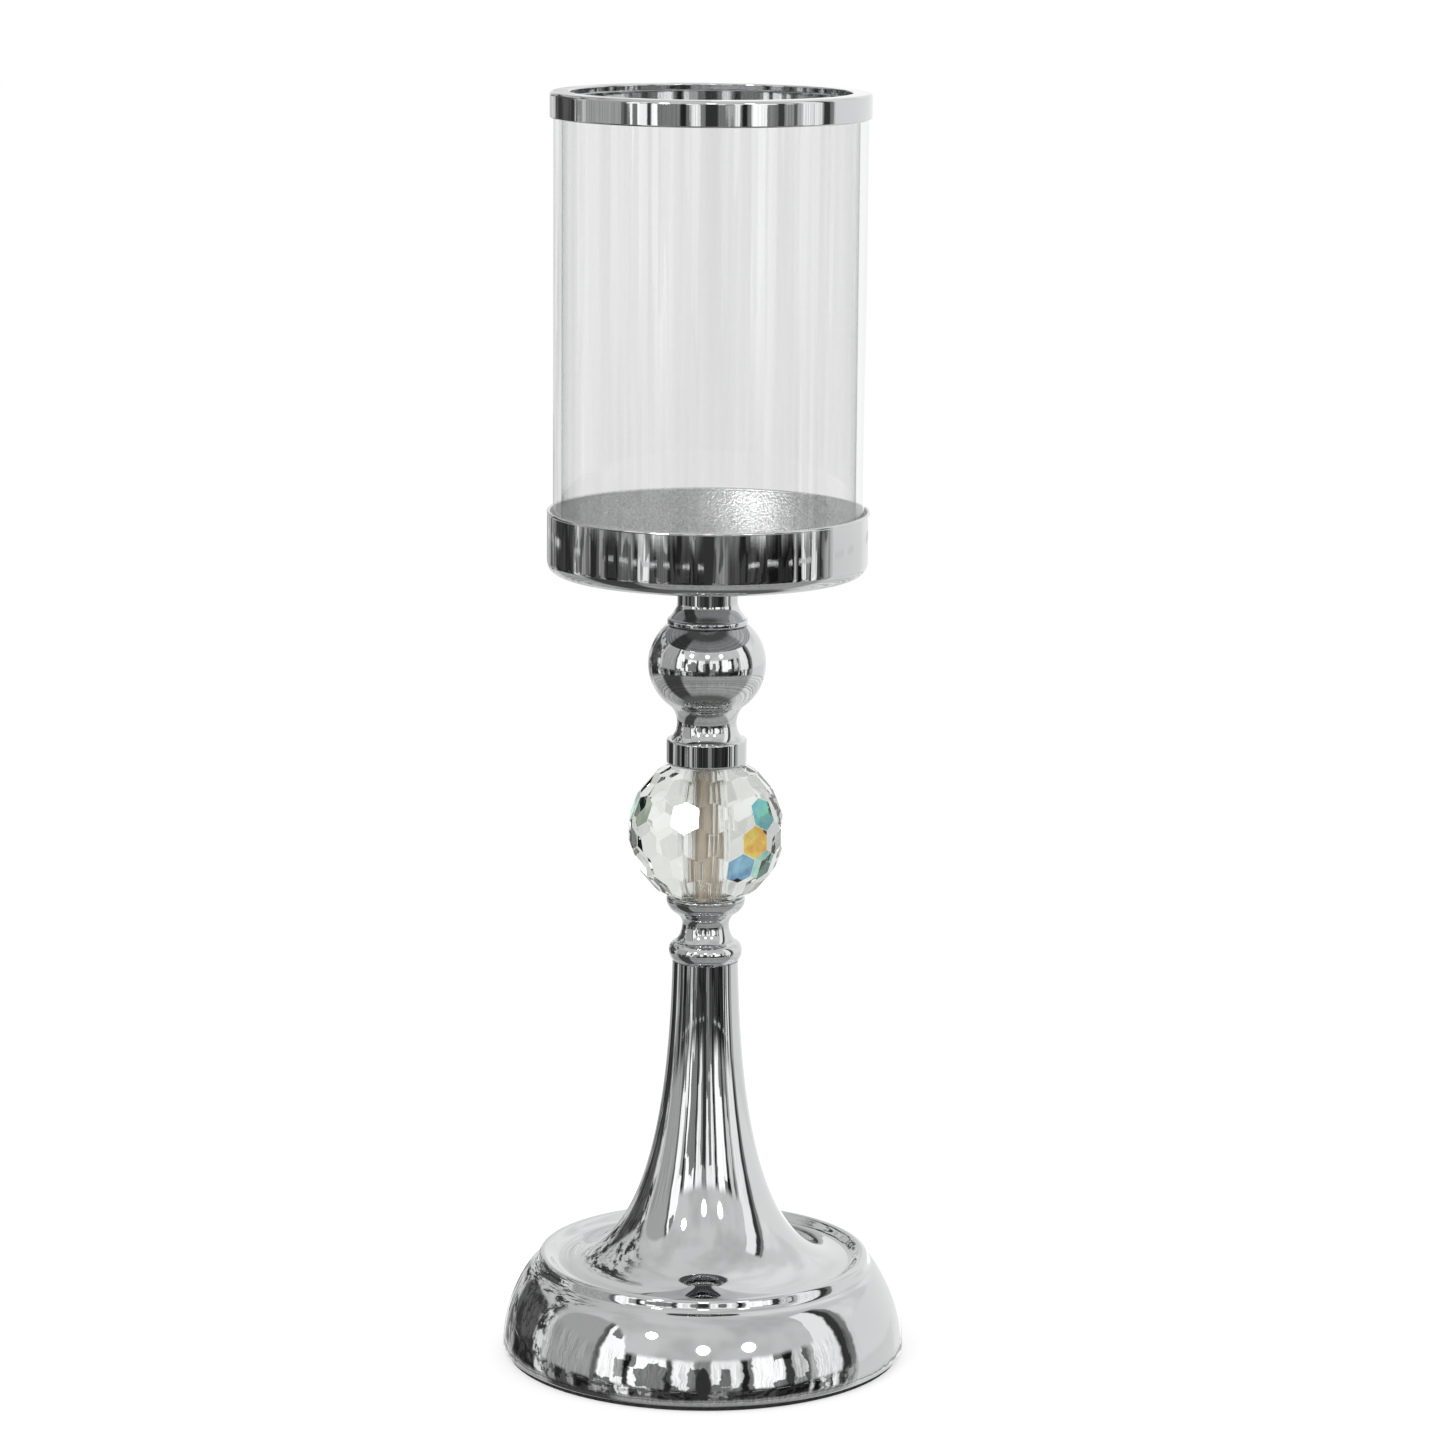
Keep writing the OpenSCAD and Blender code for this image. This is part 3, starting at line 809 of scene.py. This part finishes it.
def room():
    """A soft studio room that only the mirrors and the crystal see; white behind."""
    world = bpy.data.worlds.new("studio_room")
    bpy.context.scene.world = world
    world.use_nodes = True
    world.cycles.sampling_method = "NONE"
    nt = world.node_tree
    nt.nodes.clear()
    out = nt.nodes.new("ShaderNodeOutputWorld")
    ray = nt.nodes.new("ShaderNodeTexCoord").outputs["Generated"]
    xyz = nt.nodes.new("ShaderNodeSeparateXYZ")
    nt.links.new(ray, xyz.inputs[0])
    x, y, z = xyz.outputs
    degrees = 180 / math.pi
    az = times(nt, maths(nt, "ARCTAN2", x, times(nt, y, -1.0)), degrees)
    level = times(nt, maths(nt, "ARCSINE", z), degrees)
    ripple = maths(nt, "MULTIPLY_ADD", noise(nt, ray, 9, 3), 5.0, -2.5)
    az = maths(nt, "ADD", az, ripple)
    el = maths(nt, "ADD", level, times(nt, ripple, 0.6))
    side = maths(nt, "ABSOLUTE", az)
    right = span(nt, az, -0.4, 0.4)

    # from the ceiling down
    above = span(nt, maths(nt, "SUBTRACT", el, window_lift(nt, az)), 16, 20)
    light = mix_value(nt, above, window_light(nt, az, el, side, right),
                      ceiling_light(nt, ray, az))
    light = mix_value(nt, span(nt, el, -5, -8), light,
                      wall_light(nt, az, el, level, side, right))
    light = mix_value(nt, span(nt, el, -15, -18), light,
                      ground_light(nt, el, side, right))
    light = mix_value(nt, span(nt, el, -54, -66), light, 0.16)
    light = mix_value(nt, leaf_mask(nt, ray, az, el), light, 0.06)
    light = times(nt, light, streak_light(nt, az, el))
    light = mix_value(nt, figure_mask(nt, az, el), light, 0.05)
    for lamp_az in (0.0, 29.0):
        light = maths(nt, "ADD", light, lamp_glow(nt, ray, lamp_az))

    # through the crystal the room is paler, matt surfaces and the view see it white
    path = nt.nodes.new("ShaderNodeLightPath").outputs
    through = times(nt, path["Is Transmission Ray"],
                    span(nt, side, 85, 125, 0.12, 0.82))
    murk = span(nt, noise(nt, ray, 3.0, 3), 0.38, 0.62, 0.66, 0.93)
    light = mix_value(nt, through, light, murk)
    light = mix_value(nt, path["Is Diffuse Ray"], light, 1.12)
    light = mix_value(nt, path["Is Camera Ray"], light, 1.0)
    back = nt.nodes.new("ShaderNodeBackground")
    back.inputs["Color"].default_value = (1, 1, 1, 1)
    put(nt, back.inputs["Strength"], light)
    nt.links.new(back.outputs[0], out.inputs["Surface"])


room()


# ------------------------------------------------------------ floor and lights

def stage_floor():
    """A pale round floor that fades out to the white behind it, clear from below."""
    bm = bmesh.new()
    bmesh.ops.create_circle(bm, cap_ends=True, segments=96, radius=0.9)
    m, nt, out = material("pale_floor")
    pale = nt.nodes.new("ShaderNodeBsdfDiffuse")
    put(nt, pale.inputs["Color"],
        mix(nt, noise(nt, coords(nt), 40, 3), (0.9, 0.9, 0.9, 1),
            (0.88, 0.88, 0.88, 1)))
    clear = nt.nodes.new("ShaderNodeBsdfTransparent")
    length = nt.nodes.new("ShaderNodeVectorMath")
    length.operation = "LENGTH"
    put(nt, length.inputs[0], coords(nt))
    fade = span(nt, length.outputs["Value"], 0.16, 0.8, 0.6, 1.0)
    mix_shaders(nt, maths(nt, "MAXIMUM", fade, from_behind(nt)), pale, clear, out)
    floor = object_from("stage_floor", bm, [m])
    floor.location.z = -0.0002
    floor.visible_glossy = False
    floor.visible_transmission = False


stage_floor()


def soft_light(name, place, aim, size, power, mirrored=False):
    """A round lamp that the camera doesn't see; mirrored ones show in the chrome."""
    light = bpy.data.lights.new(name, "AREA")
    light.shape = "DISK"
    light.size = size
    light.energy = power
    obj = bpy.data.objects.new(name, light)
    bpy.context.scene.collection.objects.link(obj)
    obj.location = place
    toward = Vector(aim) - Vector(place)
    obj.rotation_euler = toward.to_track_quat("-Z", "Y").to_euler()
    obj.visible_camera = False
    obj.visible_glossy = mirrored
    obj.visible_transmission = mirrored
    return obj


def only_on(light, piece):
    """Lets a light shine on one piece alone."""
    receivers = bpy.data.collections.new("lit_by_" + light.name)
    receivers.objects.link(bpy.data.objects[piece])
    light.light_linking.receiver_collection = receivers


MIDDLE = (0, 0, 0.2)
soft_light("ceiling_lamp", (-0.632, -0.952, 0.80), MIDDLE, size=0.15, power=1.9,
           mirrored=True)
pan_glow = soft_light("pan_glow", (-0.62, -0.93, 0.47), (0, 0.04, 0.27), size=0.26,
                      power=6.8, mirrored=True)
only_on(pan_glow, "candle_pan_spun")
soft_light("key_softbox", (-0.9, -1.1, 1.5), MIDDLE, size=0.9, power=6)
soft_light("fill_softbox", (1.2, -0.6, 1.1), MIDDLE, size=0.9, power=4)
soft_light("back_softbox", (0.3, 1.3, 1.2), (0, 0, 0.25), size=0.8, power=4)


# -------------------------------------------------------------------- camera

# fitted to the round edges of foot, pan, glass and ring in the photo; in radians
CAMERA_PITCH, CAMERA_YAW, CAMERA_ROLL = 0.188427, 0.0032799, 0.0075021
CAMERA_PLACE = (0, -1.54665, 0.50960)
SENSOR_MM, LENS_MM = 36.0, 119.13


def place_camera():
    flat = math.cos(CAMERA_PITCH)
    ahead = Vector((math.sin(CAMERA_YAW) * flat, math.cos(CAMERA_YAW) * flat,
                    -math.sin(CAMERA_PITCH)))
    level_right = ahead.cross(Vector((0, 0, 1))).normalized()
    level_up = level_right.cross(ahead)
    c, s = math.cos(CAMERA_ROLL), math.sin(CAMERA_ROLL)
    turn = Matrix((c * level_right + s * level_up, c * level_up - s * level_right,
                   -ahead)).transposed()
    data = bpy.data.cameras.new("camera")
    data.sensor_width = SENSOR_MM
    data.lens = LENS_MM
    data.clip_start, data.clip_end = 0.05, 50
    cam = bpy.data.objects.new("camera", data)
    bpy.context.scene.collection.objects.link(cam)
    cam.matrix_world = Matrix.Translation(CAMERA_PLACE) @ turn.to_4x4()
    bpy.context.scene.camera = cam


place_camera()

scene = bpy.context.scene
scene.view_settings.view_transform = "Standard"
scene.cycles.transparent_max_bounces = 16
scene.cycles.max_bounces = 14
scene.cycles.transmission_bounces = 12
scene.cycles.glossy_bounces = 6
